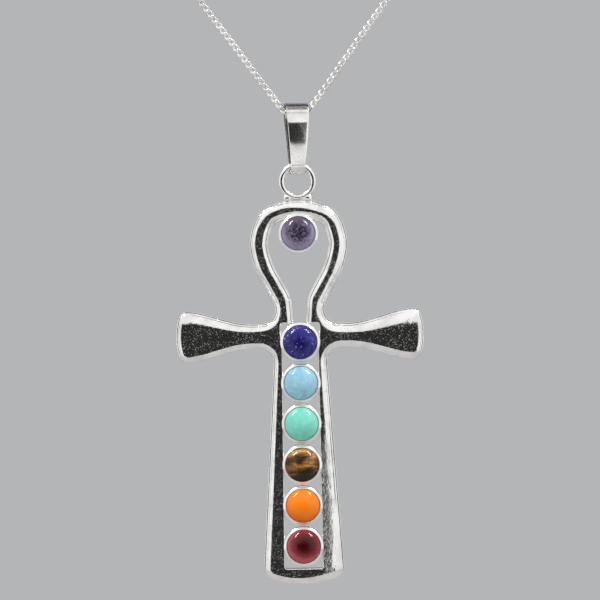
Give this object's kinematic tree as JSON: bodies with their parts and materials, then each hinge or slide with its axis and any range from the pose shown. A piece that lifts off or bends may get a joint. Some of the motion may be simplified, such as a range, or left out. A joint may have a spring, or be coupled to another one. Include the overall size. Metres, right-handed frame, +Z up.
{
  "type": "ankh pendant necklace",
  "caption": "Looped cross pendant with a row of round cabochons down its slotted leg, on a folded bail and a fine closed chain.",
  "frame": {"origin": "middle of the neck that the chain goes round, at the height of its sides", "axes": "+Z up, the pendant's face looks along -Y, +X to the right as seen from the front"},
  "size_m": [0.125, 0.1186, 0.185],
  "materials": {
    "silver": "mirror-polished silver plate",
    "chain_silver": "polished silver plate",
    "stone_violet": "polished, amethyst, grey violet, translucent",
    "stone_deep_blue": "polished, lapis lazuli, deep blue with pale flecks",
    "stone_sky_blue": "polished, pale blue, even",
    "stone_green": "polished, turquoise green, even",
    "stone_tiger_eye": "polished, tiger's eye, brown with gold bands",
    "stone_orange": "polished, orange, even",
    "stone_dark_red": "polished, dark red, even"
  },
  "bodies": {
    "necklace": {"chain": "chain_silver", "clasp": "silver"},
    "bail": {"bail": "silver"},
    "ankh": {"ankh_frame": "silver", "stone_violet": "stone_violet", "stone_deep_blue": "stone_deep_blue", "stone_sky_blue": "stone_sky_blue", "stone_green": "stone_green", "stone_tiger_eye": "stone_tiger_eye", "stone_orange": "stone_orange", "stone_dark_red": "stone_dark_red"}
  },
  "joints": [
    {"name": "bail_swing", "type": "hinge", "parent": "necklace", "child": "bail", "pos_m": [0, -0.062, -0.088], "axis": [0.9877, 0.1564, 0], "range_deg": [-80, 80]},
    {"name": "ankh_swing", "type": "hinge", "parent": "bail", "child": "ankh", "pos_m": [0, -0.062, -0.09725], "axis": [0.9877, 0.1564, 0], "range_deg": [-80, 80]}
  ]
}
